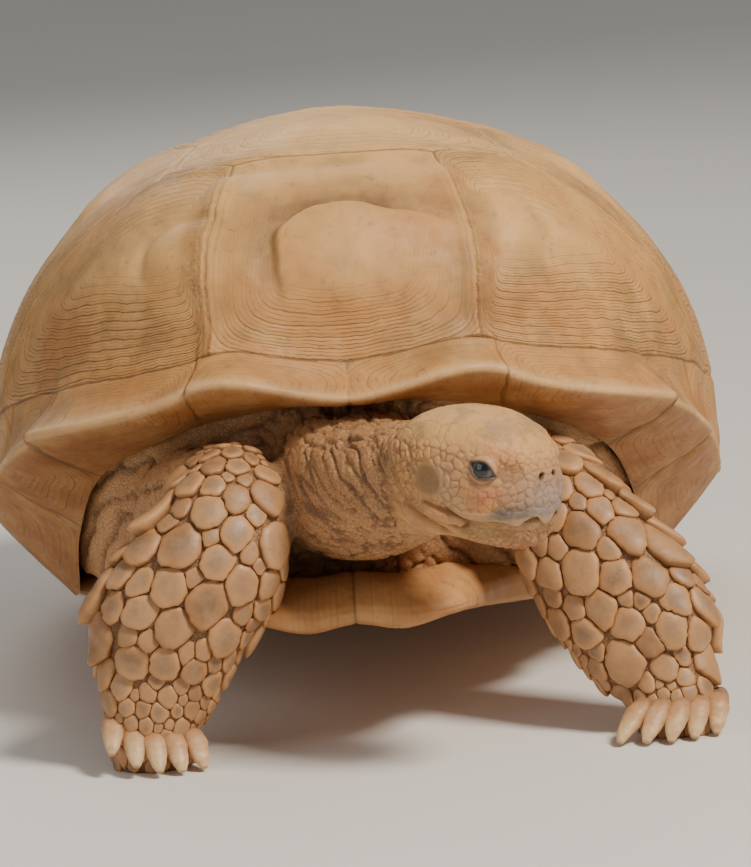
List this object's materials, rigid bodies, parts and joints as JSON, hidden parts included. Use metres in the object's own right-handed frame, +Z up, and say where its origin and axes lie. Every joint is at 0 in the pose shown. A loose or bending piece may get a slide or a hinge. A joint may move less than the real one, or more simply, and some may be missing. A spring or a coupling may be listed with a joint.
{
  "type": "sulcata tortoise",
  "caption": "Still, life-size adult sulcata tortoise, standing on four scaly legs with its head turned to its left and its domed, grooved shell raised.",
  "frame": {"origin": "on the floor below the middle of the animal's box", "axes": "-Y is ahead, the way the shell faces; +X is the animal's left; +Z is up"},
  "size_m": [0.5324, 0.8368, 0.3888],
  "materials": {
    "shell": "dry sandy horn with fine growth rings, matt with a slight sheen",
    "skin": "dry, dusty, wrinkled reptile skin with domed scales",
    "horn": "worn horn, satin",
    "eye": "dark, wet and glossy"
  },
  "bodies": {
    "root": {"carapace": "shell", "plastron": "shell", "eye_right": "eye", "eye_left": "eye", "lower_jaw": "skin", "beak": "horn", "head": "skin", "foreleg_right_upper": "skin", "foreleg_right_lower": "skin", "forefoot_right": "skin", "foreclaw_right_1": "horn", "foreclaw_right_2": "horn", "foreclaw_right_3": "horn", "foreclaw_right_4": "horn", "foreclaw_right_5": "horn", "foreleg_left_upper": "skin", "foreleg_left_lower": "skin", "forefoot_left": "skin", "foreclaw_left_1": "horn", "foreclaw_left_2": "horn", "foreclaw_left_3": "horn", "foreclaw_left_4": "horn", "foreclaw_left_5": "horn", "hindleg_right_thigh": "skin", "hindleg_right_shank": "skin", "hindclaw_right_1": "horn", "hindclaw_right_2": "horn", "hindclaw_right_3": "horn", "hindclaw_right_4": "horn", "hindleg_left_thigh": "skin", "hindleg_left_shank": "skin", "hindclaw_left_1": "horn", "hindclaw_left_2": "horn", "hindclaw_left_3": "horn", "hindclaw_left_4": "horn", "neck": "skin", "tail": "skin", "trunk": "skin"}
  },
  "joints": []
}
